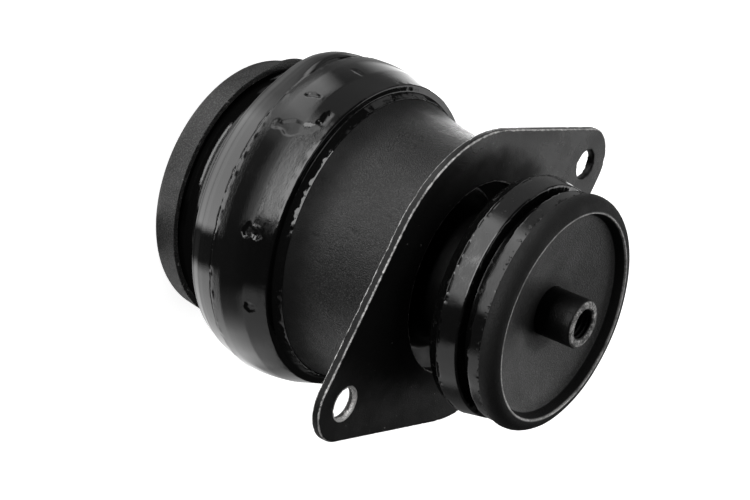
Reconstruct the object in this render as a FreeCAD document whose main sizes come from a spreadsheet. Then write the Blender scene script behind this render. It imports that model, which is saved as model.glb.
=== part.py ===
"""Two-bolt engine mount: a rubber spring bonded between a steel core and a flared, flanged bell.

The mount stands on its rear cup. +Z runs along the core towards the front cap, X runs through the two
bolt holes of the flange, and the origin is the centre of the rear cup's ridge. All sizes are in
millimetres and live in the spreadsheet, so every sketch follows the sheet.
"""
import FreeCAD, Part
import math
import os

import Sketcher

SIZES = {
    # rear cup: a drawn steel cup whose skirt points at the rubber and whose floor is pressed in
    "rear_skirt_radius": 40.8,
    "rear_cup_height": 10.2,
    "rear_skirt_spread": 0.8,
    "rear_corner": 4.0,
    "rear_ridge_width": 4.5,
    "rear_recess_depth": 3.0,
    "recess_wall_run": 1.0,
    "cup_sheet": 2.0,
    # main rubber: neck, stop ring and the wide band that is moulded over the mouth of the bell
    "rubber_inset": 1.2,
    "neck_inset": 4.3,
    "neck_round": 5.0,
    "groove_width": 12.3,
    "ring_edge_round": 1.2,
    "ring_rear_step": 1.5,
    "ring_crown_rise": 4.6,
    "ring_crown_step": 0.6,
    "ring_height": 10.3,
    "flash_step": 0.8,
    "flash_width": 0.7,
    "band_crown_rise": 5.5,
    "band_bulge": 3.2,
    "band_round": 28.0,
    "band_height": 18.1,
    "lip_step": 2.45,
    "lip_undercut": 0.9,
    # bell: a drawn shell with a flared mouth; its small end is turned in to carry the plate
    "bell_sheet": 2.5,
    "bell_cover": 4.0,
    "bell_bare_length": 34.8,
    "throat_radius": 38.0,
    "bell_sweep": 84.0,
    "bend_radius": 3.0,
    # flange plate: flat sheet, welded to the small end of the bell
    "plate_sheet": 2.5,
    "window_seat": 6.0,
    "plate_overhang": 6.5,
    "tip_radius": 11.3,
    "hole_spacing": 117.0,
    "hole_radius": 4.5,
    # front of the main rubber, in the window of the plate
    "window_lap": 2.0,
    "throat_dip": 5.0,
    "front_neck_radius": 20.0,
    "front_neck_standout": 7.8,
    # front rubber: the rebound stop with its two lobes
    "rebound_gap": 11.2,
    "lobe_step": 0.5,
    "lobe_crown_bulge": 0.9,
    "lobe_crown_rise": 3.4,
    "lobe_height": 9.5,
    "lobe_groove_width": 2.9,
    "lobe_groove_depth": 3.5,
    "top_lobe_height": 4.5,
    "cap_overhang": 0.5,
    "lobe_root_round": 2.4,
    "lobe_edge_round": 0.8,
    # front cap: a drawn steel cap with a raised rim and a floor dished towards the core
    "cap_radius": 35.0,
    "cap_height": 4.7,
    "cap_corner": 3.9,
    "cap_ridge_width": 0.6,
    "cap_recess_depth": 3.2,
    "cap_dish": 2.6,
    # core: a turned steel bar with a shoulder for each cup and a tapped hole in each end
    "core_radius": 12.0,
    "spigot_radius": 7.2,
    "boss_standout": 6.0,
    "rear_end_inset": 0.6,
    "tapping_radius": 4.25,
    "tapped_depth": 25.0,
    "end_chamfer": 0.6,
}

SHEET_NAME = "Sizes"
ORIGIN = (-1, 1)  # the sketch's origin, as a constraint names it
DRILL_POINT = 0.6  # height of a drill's point over its radius


class Size:
    """A length that knows both its number and the spreadsheet formula that gives it."""

    def __init__(self, value, formula):
        self.value = value
        self.formula = formula

    def join(self, other, sign, result):
        formula = other.formula if isinstance(other, Size) else str(other)
        return Size(result, "({} {} {})".format(self.formula, sign, formula))

    def __add__(self, other):
        return self.join(other, "+", self.value + number(other))

    def __sub__(self, other):
        return self.join(other, "-", self.value - number(other))

    def __mul__(self, other):
        return self.join(other, "*", self.value * number(other))

    def __truediv__(self, other):
        return self.join(other, "/", self.value / number(other))

    def root(self):
        return Size(math.sqrt(self.value), "sqrt({})".format(self.formula))


def number(length):
    return length.value if isinstance(length, Size) else length


def size(name):
    return Size(SIZES[name], "{}.{}".format(SHEET_NAME, name))


# ---------------------------------------------------------------------------------------------------
# Heights along the axis, each one stacked on the one before it
# ---------------------------------------------------------------------------------------------------
CUP_EDGE = size("rear_cup_height")
REAR_SHOULDER = size("rear_recess_depth") + size("cup_sheet")
RING_REAR = CUP_EDGE + size("groove_width")
RING_CROWN = RING_REAR + size("ring_crown_rise")
RING_TOP = RING_REAR + size("ring_height")
BAND_CROWN = RING_TOP + size("band_crown_rise")
LIP = RING_TOP + size("band_height")
BELL_MOUTH = LIP - size("bell_cover")
PLATE_REAR = LIP + size("bell_bare_length")
PLATE_FRONT = PLATE_REAR + size("plate_sheet")
BEND = PLATE_REAR - size("bend_radius")
BELL_FLOOR = PLATE_REAR - size("bell_sheet")
FRONT_NECK_END = PLATE_FRONT + size("front_neck_standout")
LOBE_REAR = PLATE_FRONT + size("rebound_gap")
LOBE_CROWN = LOBE_REAR + size("lobe_crown_rise")
LOBE_FRONT = LOBE_REAR + size("lobe_height")
TOP_LOBE = LOBE_FRONT + size("lobe_groove_width")
CAP_EDGE = TOP_LOBE + size("top_lobe_height")
CAP_RIM = CAP_EDGE + size("cap_height")
CAP_FLOOR = CAP_RIM - size("cap_recess_depth")
CAP_CENTRE = CAP_FLOOR - size("cap_dish")
FRONT_SHOULDER = CAP_CENTRE - size("cup_sheet")
CORE_REAR = size("rear_end_inset")
CORE_FRONT = CAP_RIM + size("boss_standout")

# Radii that several pieces share
REAR_CORNER_RADIUS = size("rear_skirt_radius") - size("rear_skirt_spread")
REAR_RIDGE_OUTER = REAR_CORNER_RADIUS - size("rear_corner")
REAR_RIDGE_INNER = REAR_RIDGE_OUTER - size("rear_ridge_width")
REAR_FLOOR_RADIUS = REAR_RIDGE_INNER - size("recess_wall_run")
CAP_RIDGE_INNER = size("cap_radius") - size("cap_corner") - size("cap_ridge_width")
CAP_FLOOR_RADIUS = CAP_RIDGE_INNER - size("recess_wall_run")
CAP_SKIRT_INNER = size("cap_radius") - size("cup_sheet")
TOP_LOBE_RADIUS = size("cap_radius") - size("cap_overhang")
LOBE_RADIUS = TOP_LOBE_RADIUS + size("lobe_step")
GROOVE_RADIUS = TOP_LOBE_RADIUS - size("lobe_groove_depth")
WINDOW_RADIUS = size("throat_radius") - size("bend_radius") - size("window_seat")


def bell_radius(height, sheet=0):
    """Radius of the bell's wall at a height: outside, or inside where the sheet's thickness is given."""
    centre = size("throat_radius") + size("bell_sweep")
    sweep = size("bell_sweep") + sheet
    fall = BEND - height
    return centre - (sweep * sweep - fall * fall).root()


# Radii of the main rubber, each one stepped from the bell that it is moulded over
LIP_RADIUS = bell_radius(LIP) + size("lip_step")
BAND_RADIUS = LIP_RADIUS + size("band_bulge")
RING_TOP_RADIUS = BAND_RADIUS - size("flash_step")
RING_CROWN_RADIUS = RING_TOP_RADIUS - size("ring_crown_step")
RING_REAR_RADIUS = RING_CROWN_RADIUS - size("ring_rear_step")


# ---------------------------------------------------------------------------------------------------
# Sketches
# ---------------------------------------------------------------------------------------------------
def attached_sketch(body, name, plane):
    sketch = body.newObject("Sketcher::SketchObject", name)
    base = [item for item in body.Origin.OriginFeatures if item.Role == plane][0]
    sketch.AttachmentSupport = [(base, "")]
    sketch.MapMode = "FlatFace"
    return sketch


def bound(sketch, constraint, length):
    """Add a constraint whose value follows the sheet."""
    index = sketch.addConstraint(constraint)
    if isinstance(length, Size):
        sketch.setExpression("Constraints[{}]".format(index), length.formula)


def pin_point(sketch, geometry, end, across, along):
    """Fix one end of a line or arc at its distances from the sketch's origin."""
    # The axes that a sketch is drawn on count as lines: -2 is its vertical axis, -1 its horizontal one.
    for distance, kind, axis in ((across, "DistanceX", -2), (along, "DistanceY", -1)):
        value = number(distance)
        if value == 0:
            sketch.addConstraint(Sketcher.Constraint("PointOnObject", geometry, end, axis))
        elif value > 0:
            bound(sketch, Sketcher.Constraint(kind, *ORIGIN, geometry, end, value), distance)
        else:
            bound(sketch, Sketcher.Constraint(kind, geometry, end, *ORIGIN, -value), distance * -1)


def arc_between(start, end, radius, turn):
    """The short arc from start to end; turn is +1 for a left-hand and -1 for a right-hand bend."""
    chord = end - start
    middle = start + chord * 0.5
    left = FreeCAD.Vector(-chord.y, chord.x, 0).normalize()
    height = math.sqrt(max(radius * radius - chord.Length ** 2 / 4, 0.0))
    centre = middle + left * (height * turn)
    first, last = (start, end) if turn > 0 else (end, start)
    angles = [math.atan2(point.y - centre.y, point.x - centre.x) for point in (first, last)]
    if angles[1] < angles[0]:
        angles[1] += 2 * math.pi
    circle = Part.Circle(centre, FreeCAD.Vector(0, 0, 1), radius)
    return Part.ArcOfCircle(circle, angles[0], angles[1])


def closed_outline(sketch, start, steps):
    """Draw a closed outline. A step is (x, y) for a line or (x, y, radius, turn) for an arc."""
    corners = [start] + [step[:2] for step in steps]
    points = [FreeCAD.Vector(number(x), number(y), 0) for x, y in corners]
    ends = []
    for index, step in enumerate(list(steps) + [start]):
        first = points[index]
        last = points[(index + 1) % len(points)]
        if len(step) == 2:
            geometry = sketch.addGeometry(Part.LineSegment(first, last), False)
            ends.append((geometry, 1, 2))
            continue
        radius, turn = step[2:]
        geometry = sketch.addGeometry(arc_between(first, last, number(radius), turn), False)
        ends.append((geometry, 1, 2) if turn > 0 else (geometry, 2, 1))
        bound(sketch, Sketcher.Constraint("Radius", geometry, number(radius)), radius)
    for index, (geometry, first_end, last_end) in enumerate(ends):
        following = ends[(index + 1) % len(ends)]
        sketch.addConstraint(Sketcher.Constraint("Coincident", geometry, last_end, *following[:2]))
        pin_point(sketch, geometry, first_end, *corners[index])


def flat_sketch(body, name, height):
    """A sketch square to the axis, at a height that follows the sheet."""
    sketch = attached_sketch(body, name, "XY_Plane")
    sketch.AttachmentOffset = FreeCAD.Placement(FreeCAD.Vector(0, 0, height.value), FreeCAD.Rotation())
    sketch.setExpression("AttachmentOffset.Base.z", height.formula)
    return sketch


# ---------------------------------------------------------------------------------------------------
# Bodies and features
# ---------------------------------------------------------------------------------------------------
def new_body(doc, name):
    body = doc.addObject("PartDesign::Body", name)
    body.Label = name
    body.Placement = FreeCAD.Placement()
    return body


def turned(body, name, start, steps):
    """Revolve a half section, drawn in the XZ plane as (radius, height), about the mount's axis."""
    sketch = attached_sketch(body, name + "_section", "XZ_Plane")
    closed_outline(sketch, start, steps)
    feature = body.newObject("PartDesign::Revolution", name)
    feature.Profile = sketch
    feature.ReferenceAxis = (sketch, ["V_Axis"])
    feature.Angle = 360.0
    body.Tip = feature


def punched(body, name, places, radius):
    """Pocket round holes through the flange plate, at places along X."""
    sketch = flat_sketch(body, name + "_circles", PLATE_FRONT)
    for place in places:
        circle = Part.Circle(FreeCAD.Vector(number(place), 0, 0), FreeCAD.Vector(0, 0, 1), radius.value)
        geometry = sketch.addGeometry(circle, False)
        bound(sketch, Sketcher.Constraint("Radius", geometry, radius.value), radius)
        pin_point(sketch, geometry, 3, place, 0)
    holes = body.newObject("PartDesign::Pocket", name)
    holes.Profile = sketch
    holes.setExpression("Length", size("plate_sheet").formula)
    body.Tip = holes


def make_rear_cup(doc):
    """Drawn cup: flat ridge to stand on, rounded corner, tapered skirt, floor pressed in."""
    body = new_body(doc, "rear_cup")
    sheet = size("cup_sheet")
    corner = size("rear_corner")
    turned(body, "cup_shell", (size("spigot_radius"), size("rear_recess_depth")), [
        (REAR_FLOOR_RADIUS, size("rear_recess_depth")),
        (REAR_RIDGE_INNER, 0),
        (REAR_RIDGE_OUTER, 0),
        (REAR_CORNER_RADIUS, corner, corner, 1),
        (size("rear_skirt_radius"), CUP_EDGE),
        (size("rear_skirt_radius") - sheet, CUP_EDGE),
        (REAR_CORNER_RADIUS - sheet, corner),
        (REAR_RIDGE_OUTER, sheet, corner - sheet, -1),
        (REAR_RIDGE_INNER + sheet, sheet),
        (REAR_FLOOR_RADIUS + sheet, REAR_SHOULDER),
        (size("spigot_radius"), REAR_SHOULDER),
    ])
    return body


def make_inner_core(doc):
    """Turned bar: a shoulder for each cup, and a tapped blind hole with a drill point in each end."""
    body = new_body(doc, "inner_core")
    bore = size("tapping_radius")
    spigot = size("spigot_radius")
    bar = size("core_radius")
    chamfer = size("end_chamfer")
    rear_depth = CORE_REAR + size("tapped_depth")
    front_depth = CORE_FRONT - size("tapped_depth")
    point = bore * DRILL_POINT
    turned(body, "core_bar", (0, rear_depth + point), [
        (bore, rear_depth),
        (bore, CORE_REAR + chamfer),
        (bore + chamfer, CORE_REAR),
        (spigot - chamfer, CORE_REAR),
        (spigot, CORE_REAR + chamfer),
        (spigot, REAR_SHOULDER),
        (bar, REAR_SHOULDER),
        (bar, FRONT_SHOULDER),
        (spigot, FRONT_SHOULDER),
        (spigot, CORE_FRONT - chamfer),
        (spigot - chamfer, CORE_FRONT),
        (bore + chamfer, CORE_FRONT),
        (bore, CORE_FRONT - chamfer),
        (bore, front_depth),
        (0, front_depth - point),
    ])
    return body


def make_main_rubber(doc):
    """One moulding: it fills the rear cup, necks in, wraps the bell's mouth and lines the bell."""
    body = new_body(doc, "main_rubber")
    sheet = size("cup_sheet")
    corner = size("rear_corner")
    fill_edge = CUP_EDGE - size("rubber_inset")
    skirt_rise = (fill_edge - corner) / (CUP_EDGE - corner)
    fill_radius = REAR_CORNER_RADIUS - sheet + size("rear_skirt_spread") * skirt_rise
    neck = fill_radius - size("neck_inset")
    neck_round = size("neck_round")
    ring_root = neck_round / 2
    ring_round = size("ring_edge_round")
    flash = size("flash_width")
    bell_sheet = size("bell_sheet")
    bell_corner = size("bend_radius") - bell_sheet
    throat = size("throat_radius") - bell_sheet
    under_lip = size("lip_undercut")
    front_neck = size("front_neck_radius")
    dip = size("throat_dip")
    turned(body, "rubber_spring", (size("core_radius"), REAR_SHOULDER), [
        (REAR_FLOOR_RADIUS + sheet, REAR_SHOULDER),
        (REAR_RIDGE_INNER + sheet, sheet),
        (REAR_RIDGE_OUTER, sheet),
        (REAR_CORNER_RADIUS - sheet, corner, corner - sheet, 1),
        (fill_radius, fill_edge),
        (neck, fill_edge + neck_round, neck_round, -1),
        (neck, RING_REAR - ring_root),
        (neck + ring_root, RING_REAR, ring_root, -1),
        (RING_REAR_RADIUS - ring_round, RING_REAR),
        (RING_REAR_RADIUS, RING_REAR + ring_round, ring_round, 1),
        (RING_CROWN_RADIUS, RING_CROWN),
        (RING_TOP_RADIUS, RING_TOP - flash),
        (BAND_RADIUS, RING_TOP),
        (BAND_RADIUS - flash / 2, RING_TOP + flash),
        (BAND_RADIUS, BAND_CROWN),
        (LIP_RADIUS, LIP, size("band_round"), 1),
        (bell_radius(LIP) + under_lip, LIP - under_lip),
        (bell_radius(LIP + under_lip), LIP + under_lip),
        (bell_radius(BELL_MOUTH), BELL_MOUTH, size("bell_sweep"), 1),
        (bell_radius(BELL_MOUTH, bell_sheet), BELL_MOUTH),
        (throat, BEND, size("bell_sweep") + bell_sheet, -1),
        (throat - bell_corner, BELL_FLOOR, bell_corner, 1),
        (WINDOW_RADIUS + size("window_lap"), BELL_FLOOR),
        (front_neck + dip, BELL_FLOOR - dip),
        (front_neck, BELL_FLOOR, dip, -1),
        (front_neck, FRONT_NECK_END),
        (size("core_radius"), FRONT_NECK_END),
    ])
    return body


def make_bell(doc):
    """Drawn shell: the mouth flares in one sweep, and the small end is turned in round the window."""
    body = new_body(doc, "bell")
    bend = size("bend_radius")
    sheet = size("bell_sheet")
    throat = size("throat_radius")
    turned(body, "bell_shell", (bell_radius(BELL_MOUTH), BELL_MOUTH), [
        (throat, BEND, size("bell_sweep"), -1),
        (throat - bend, PLATE_REAR, bend, 1),
        (WINDOW_RADIUS, PLATE_REAR),
        (WINDOW_RADIUS, BELL_FLOOR),
        (throat - bend, BELL_FLOOR),
        (throat - sheet, BEND, bend - sheet, -1),
        (bell_radius(BELL_MOUTH, sheet), BELL_MOUTH, size("bell_sweep") + sheet, 1),
    ])
    return body


def make_flange_plate(doc):
    """Flat sheet: a round middle, two round ends, a window for the rubber and two bolt holes."""
    body = new_body(doc, "flange_plate")
    sketch = flat_sketch(body, "plate_outline", PLATE_REAR)
    middle = size("throat_radius") + size("plate_overhang")
    tip = size("tip_radius")
    reach = size("hole_spacing") / 2
    lean = (middle - tip) / reach
    rise = (Size(1, "1") - lean * lean).root()

    def on_middle(side, end):
        return middle * lean * side, middle * rise * end

    def on_tip(side, end):
        return (reach + tip * lean) * side, tip * rise * end

    closed_outline(sketch, on_tip(1, -1), [
        on_tip(1, 1) + (tip, 1),
        on_middle(1, 1),
        on_middle(-1, 1) + (middle, 1),
        on_tip(-1, 1),
        on_tip(-1, -1) + (tip, 1),
        on_middle(-1, -1),
        on_middle(1, -1) + (middle, 1),
    ])
    plate = body.newObject("PartDesign::Pad", "plate")
    plate.Profile = sketch
    plate.setExpression("Length", size("plate_sheet").formula)
    body.Tip = plate
    punched(body, "window", [0], WINDOW_RADIUS)
    punched(body, "bolt_holes", [reach * -1, reach], size("hole_radius"))
    return body


def make_front_rubber(doc):
    """Rebound stop: a hub on the core, two lobes with a groove between them, bonded under the cap."""
    body = new_body(doc, "front_rubber")
    hub = size("front_neck_radius")
    root = size("lobe_root_round")
    edge = size("lobe_edge_round")
    turned(body, "rebound_stop", (size("core_radius"), FRONT_NECK_END), [
        (hub, FRONT_NECK_END),
        (hub, LOBE_REAR - root),
        (hub + root, LOBE_REAR, root, -1),
        (LOBE_RADIUS - edge, LOBE_REAR),
        (LOBE_RADIUS, LOBE_REAR + edge, edge, 1),
        (LOBE_RADIUS + size("lobe_crown_bulge"), LOBE_CROWN),
        (LOBE_RADIUS, LOBE_FRONT - edge),
        (LOBE_RADIUS - edge, LOBE_FRONT, edge, 1),
        (GROOVE_RADIUS, LOBE_FRONT),
        (GROOVE_RADIUS, TOP_LOBE),
        (TOP_LOBE_RADIUS - edge, TOP_LOBE),
        (TOP_LOBE_RADIUS, TOP_LOBE + edge, edge, 1),
        (TOP_LOBE_RADIUS, CAP_EDGE),
        (CAP_SKIRT_INNER, CAP_EDGE),
        (CAP_FLOOR_RADIUS, CAP_FLOOR - size("cup_sheet")),
        (size("core_radius"), FRONT_SHOULDER),
    ])
    return body


def make_front_cap(doc):
    """Drawn cap: raised round rim, and a floor that falls towards the shoulder of the core."""
    body = new_body(doc, "front_cap")
    spigot = size("spigot_radius")
    core = size("core_radius")
    corner = size("cap_corner")
    turned(body, "cap_shell", (spigot, FRONT_SHOULDER), [
        (core, FRONT_SHOULDER),
        (CAP_FLOOR_RADIUS, CAP_FLOOR - size("cup_sheet")),
        (CAP_SKIRT_INNER, CAP_EDGE),
        (size("cap_radius"), CAP_EDGE),
        (size("cap_radius"), CAP_RIM - corner),
        (size("cap_radius") - corner, CAP_RIM, corner, 1),
        (CAP_RIDGE_INNER, CAP_RIM),
        (CAP_FLOOR_RADIUS, CAP_FLOOR),
        (core, CAP_CENTRE),
        (spigot, CAP_CENTRE),
    ])
    return body


# ---------------------------------------------------------------------------------------------------
# Document
# ---------------------------------------------------------------------------------------------------
def make_sheet(doc):
    sheet = doc.addObject("Spreadsheet::Sheet", SHEET_NAME)
    for row, (name, value) in enumerate(SIZES.items(), start=1):
        sheet.set("A{}".format(row), name)
        sheet.set("B{}".format(row), str(value))
        sheet.setAlias("B{}".format(row), name)
    doc.recompute()


def check(doc, parts):
    """Stop if an object failed, a shape is bad or a cut took nothing away."""
    for item in doc.Objects:
        if "Invalid" in item.State or "Error" in item.State:
            raise RuntimeError("{} failed: {}".format(item.Name, item.State))
    for body in parts:
        if body.Shape.isNull() or not body.Shape.isValid() or len(body.Shape.Solids) != 1:
            raise RuntimeError("{} is not one valid solid".format(body.Label))
        for cut in body.Group:
            if cut.isDerivedFrom("PartDesign::Pocket") and cut.Shape.Volume >= cut.BaseFeature.Shape.Volume:
                raise RuntimeError("{} cuts nothing".format(cut.Name))


def export(parts):
    os.makedirs("parts", exist_ok=True)
    for body in parts:
        body.Shape.exportStep("parts/{}.step".format(body.Label))
        print("{:16s} {:9.0f} mm3".format(body.Label, body.Shape.Volume))


def main():
    doc = FreeCAD.newDocument("engine_mount")
    make_sheet(doc)
    makers = (
        make_rear_cup,
        make_inner_core,
        make_main_rubber,
        make_bell,
        make_flange_plate,
        make_front_rubber,
        make_front_cap,
    )
    parts = [make(doc) for make in makers]
    doc.recompute()
    check(doc, parts)
    export(parts)


main()
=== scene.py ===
import itertools
import math

import bmesh
import bpy
import numpy as np
from mathutils import Matrix, Vector


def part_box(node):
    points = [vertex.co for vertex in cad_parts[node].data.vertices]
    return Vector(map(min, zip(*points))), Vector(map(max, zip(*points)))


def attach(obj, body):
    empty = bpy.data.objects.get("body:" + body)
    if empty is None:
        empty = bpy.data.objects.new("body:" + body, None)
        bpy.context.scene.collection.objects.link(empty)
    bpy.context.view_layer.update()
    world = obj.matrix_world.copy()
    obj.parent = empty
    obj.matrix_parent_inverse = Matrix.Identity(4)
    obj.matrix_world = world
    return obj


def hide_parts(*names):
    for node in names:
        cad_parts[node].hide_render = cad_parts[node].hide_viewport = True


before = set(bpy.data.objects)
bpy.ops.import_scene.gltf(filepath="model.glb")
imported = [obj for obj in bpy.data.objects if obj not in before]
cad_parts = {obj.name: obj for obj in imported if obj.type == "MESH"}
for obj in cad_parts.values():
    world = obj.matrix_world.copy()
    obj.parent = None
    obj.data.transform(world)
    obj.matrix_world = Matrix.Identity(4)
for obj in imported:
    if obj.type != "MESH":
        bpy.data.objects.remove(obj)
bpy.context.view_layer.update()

MM = 0.001


def span(node):
    """Lowest and highest height of a CAD node, in millimetres."""
    low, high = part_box(node)
    return low[2] / MM, high[2] / MM


CUP_EDGE = span("rear_cup")[1]
BELL_MOUTH, PLATE_REAR = span("bell")
PLATE_FRONT = span("flange_plate")[1]
STOP_REAR, CAP_EDGE = span("front_rubber")
CAP_RIM = span("front_cap")[1]
CORE_REAR, CORE_FRONT = span("inner_core")
HALF_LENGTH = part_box("flange_plate")[1][0] / MM
BAND_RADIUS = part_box("main_rubber")[1][0] / MM
LOBE_CROWN_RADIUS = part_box("front_rubber")[1][0] / MM

# Sizes that the boxes of the solids don't give. They are the ones that the solids were made with.
# core, and the two cups on it
BORE_RADIUS, SPIGOT_RADIUS, CORE_RADIUS = 4.25, 7.2, 12.0
SHEET = 2.0
REAR_RECESS = 3.0
REAR_SHOULDER = REAR_RECESS + SHEET
CAP_RADIUS, CAP_RIM_INNER, CAP_FLOOR_RADIUS = 35.0, 30.5, 29.5
CAP_FLOOR, CAP_CENTRE = 117.8, 115.2
FRONT_SHOULDER = CAP_CENTRE - SHEET
# bell and plate
THROAT_RADIUS, WINDOW_RADIUS = 38.0, 29.0
BELL_SWEEP = 84.0
BELL_SHEET = 2.5
BEND_RADIUS = 3.0
BEND = PLATE_REAR - BEND_RADIUS
BELL_FLOOR = PLATE_REAR - BELL_SHEET
PLATE_RADIUS, TIP_RADIUS, HOLE_RADIUS = 44.5, 11.3, 4.5
HOLE_PLACE = HALF_LENGTH - TIP_RADIUS
# main rubber: ring, the flash line between ring and band, lip, and front neck
RING_REAR, RING_CROWN, RING_TOP, FLASH = 22.5, 27.1, 32.1, 32.8
LIP = BELL_MOUTH + 4.0
LIP_RADIUS = 46.7
RUBBER_FRONT = 96.0
# front rubber
LOBE_REAR, LOBE_CROWN, LOBE_FRONT, TOP_LOBE = 99.4, 102.8, 108.9, 111.8
LOBE_RADIUS, TOP_LOBE_RADIUS, LOBE_GROOVE_RADIUS = 35.0, 34.5, 31.0

# Sizes of what differs from the solids, to follow the photo more closely: the band's crown, the cone
# from the band to the lip, and the film of rubber on the bell.
BAND_CROWN = 36.5
CONE_LENGTH = 6.8
CONE_SLOPE = math.tan(math.radians(17.5))
FILM_EDGE = LIP + 3.0

# Radius at which distances round the band are measured.
BAND_MIDDLE_RADIUS = 49.0
# Angle at which a turned piece's grid starts, out of the photo's view.
FAR_SIDE = 130.0


# ---- Profiles and turned meshes ----
def bell_radius(height, sheet=0.0):
    """Radius of the bell at a height: outside, or inside where the sheet's thickness is given."""
    fall = BEND - height
    return THROAT_RADIUS + BELL_SWEEP - math.sqrt((BELL_SWEEP + sheet) ** 2 - fall ** 2)


def traced(start, steps, gap=0.1):
    """Points along a closed outline. A step is (x, y) for a line or (x, y, radius, turn) for an arc."""
    points = []
    here = np.array(start, float)
    for step in list(steps) + [start]:
        there = np.array(step[:2], float)
        chord = there - here
        length = math.hypot(*chord)
        count = max(int(length / gap), 1)
        share = np.linspace(0, 1, count, endpoint=False)[:, None]
        if len(step) == 2:
            points.append(here + chord * share)
        else:
            radius, turn = step[2:]
            left = np.array([-chord[1], chord[0]]) / length
            centre = here + chord / 2 + left * math.sqrt(max(radius ** 2 - length ** 2 / 4, 0)) * turn
            first = math.atan2(*(here - centre)[::-1])
            last = math.atan2(*(there - centre)[::-1])
            sweep = (last - first) * turn % (2 * math.pi) * turn
            angle = first + sweep * share
            points.append(centre + radius * np.hstack([np.cos(angle), np.sin(angle)]))
        here = there
    return np.concatenate(points)


def softened(points, reach, gap=0.1):
    """Round every corner of a closed outline, by averaging over reach millimetres each way."""
    count = max(int(reach / gap), 1)
    weights = np.hanning(2 * count + 3)[1:-1]
    weights /= weights.sum()
    padded = np.concatenate([points[-count:], points, points[:count]])
    return np.stack([np.convolve(padded[:, axis], weights, "valid") for axis in (0, 1)], axis=1)


def thinned(points, gap, turn=9.0):
    """Keep points at most gap apart, or gap(x, y), and closer where the outline bends."""
    step = np.roll(points, -1, axis=0) - points
    length = np.hypot(*step.T)
    heading = np.arctan2(step[:, 1], step[:, 0])
    bend = np.abs((np.roll(heading, -1) - heading + math.pi) % (2 * math.pi) - math.pi)
    allowed = gap(points[:, 0], points[:, 1]) if callable(gap) else gap
    cost = np.cumsum(length / allowed + bend / math.radians(turn))
    wanted = np.linspace(0, cost[-1], int(cost[-1]) + 1, endpoint=False)
    return points[np.unique(np.searchsorted(cost, wanted))]


def profile(start, steps, soft=0.3, gap=1.5, turn=9.0):
    """Outline of a turned piece as (radius, height) points, with its corners softened."""
    return thinned(softened(traced(start, steps), soft), gap, turn)


def angles(count, close=None, middle=300.0, reach=70.0, fade=25.0):
    """Angles round the axis in degrees, from the far side on. close times as many near the middle."""
    fine = np.linspace(FAR_SIDE, FAR_SIDE + 360.0, 7201)
    if close:
        away = np.clip((np.abs(fine - middle) - reach) / fade, 0, 1)
        density = close + (1 - close) * away
    else:
        density = np.ones_like(fine)
    total = np.concatenate([[0], np.cumsum((density[1:] + density[:-1]) / 2)])
    return np.interp(np.linspace(0, total[-1], count, endpoint=False), total, fine)


def new_mesh(name, points, faces):
    """A mesh from points in millimetres."""
    mesh = bpy.data.meshes.new(name)
    mesh.from_pydata((np.asarray(points) * MM).tolist(), [], faces)
    mesh.update()
    return mesh


def placed(mesh, smooth_under=40.0):
    """An object of a mesh, with its name. Edges of more than smooth_under degrees stay sharp."""
    mesh.polygons.foreach_set("use_smooth", np.ones(len(mesh.polygons), bool))
    mesh.set_sharp_from_angle(angle=math.radians(smooth_under))
    piece = bpy.data.objects.new(mesh.name, mesh)
    bpy.context.scene.collection.objects.link(piece)
    return piece


def ring_faces(rows, columns, first=0, closed=True):
    """Quads of a grid that goes round in both ways, or in one only."""
    row = np.arange(rows if closed else rows - 1)[:, None]
    column = np.arange(columns)[None, :]
    after_row, after_column = (row + 1) % rows, (column + 1) % columns
    corners = [row * columns + column, row * columns + after_column,
               after_row * columns + after_column, after_row * columns + column]
    corners = np.broadcast_arrays(*corners)
    return (np.stack(corners, axis=-1).reshape(-1, 4) + first).tolist()


def turned_points(outline, around, raised=None):
    """Grid of points of a turned piece. raised(points, angle) gives how far each one moves outward."""
    angle = np.radians(around)[None, :]
    along = np.roll(outline, -1, axis=0) - np.roll(outline, 1, axis=0)
    along /= np.hypot(*along.T)[:, None]
    radius, height = outline[:, :1], outline[:, 1:]
    across, ahead = radius * np.cos(angle), radius * np.sin(angle)
    grid = np.stack(np.broadcast_arrays(across, ahead, height), axis=-1)
    if raised is None:
        return grid
    move = raised(grid, np.broadcast_to(around % 360.0, grid.shape[:2]))
    outward, upward = along[:, 1:], -along[:, :1]
    direction = np.stack(np.broadcast_arrays(
        outward * np.cos(angle), outward * np.sin(angle), upward + 0 * angle), axis=-1)
    return grid + direction * move[..., None]


def turned(name, outline, around, raised=None, extra=()):
    """A turned piece. extra holds the (points, faces) of loose bits, such as crumbs, that join it."""
    points = turned_points(outline, around, raised).reshape(-1, 3)
    faces = ring_faces(len(outline), len(around))
    for more_points, more_faces in extra:
        faces += [[corner + len(points) for corner in face] for face in more_faces]
        points = np.concatenate([points, more_points])
    return placed(new_mesh(name, points, faces))


# ---- Unevenness that is modelled ----
def hashed(cell):
    """A value from -1 to 1 for each grid point, always the same. The large numbers mix its bits."""
    mixed = (cell[..., 0] * 73856093) ^ (cell[..., 1] * 19349663) ^ (cell[..., 2] * 83492791)
    mixed = (mixed << 13) ^ mixed
    mixed = (mixed * (mixed * mixed * 15731 + 789221) + 1376312589) & 0x7FFFFFFF
    return mixed / 2.0 ** 30 - 1


def lumps(points, size, seed=0):
    """Smooth noise from -1 to 1 at points in millimetres, with lumps of about the given size."""
    place = points / size + seed * 19.7
    cell = np.floor(place).astype(np.int64)
    part = place - cell
    part = part * part * (3 - 2 * part)
    total = 0
    for corner in itertools.product((0, 1), repeat=3):
        weight = np.prod(np.where(corner, part, 1 - part), axis=-1)
        total = total + weight * hashed(cell + np.array(corner))
    return total


def ragged(points, size, seed=0, layers=3):
    """Rougher noise from about -1 to 1, with finer lumps on its lumps."""
    return sum(lumps(points, size / 2 ** k, seed + k) * 0.6 ** k for k in range(layers)) / 1.6


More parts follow.
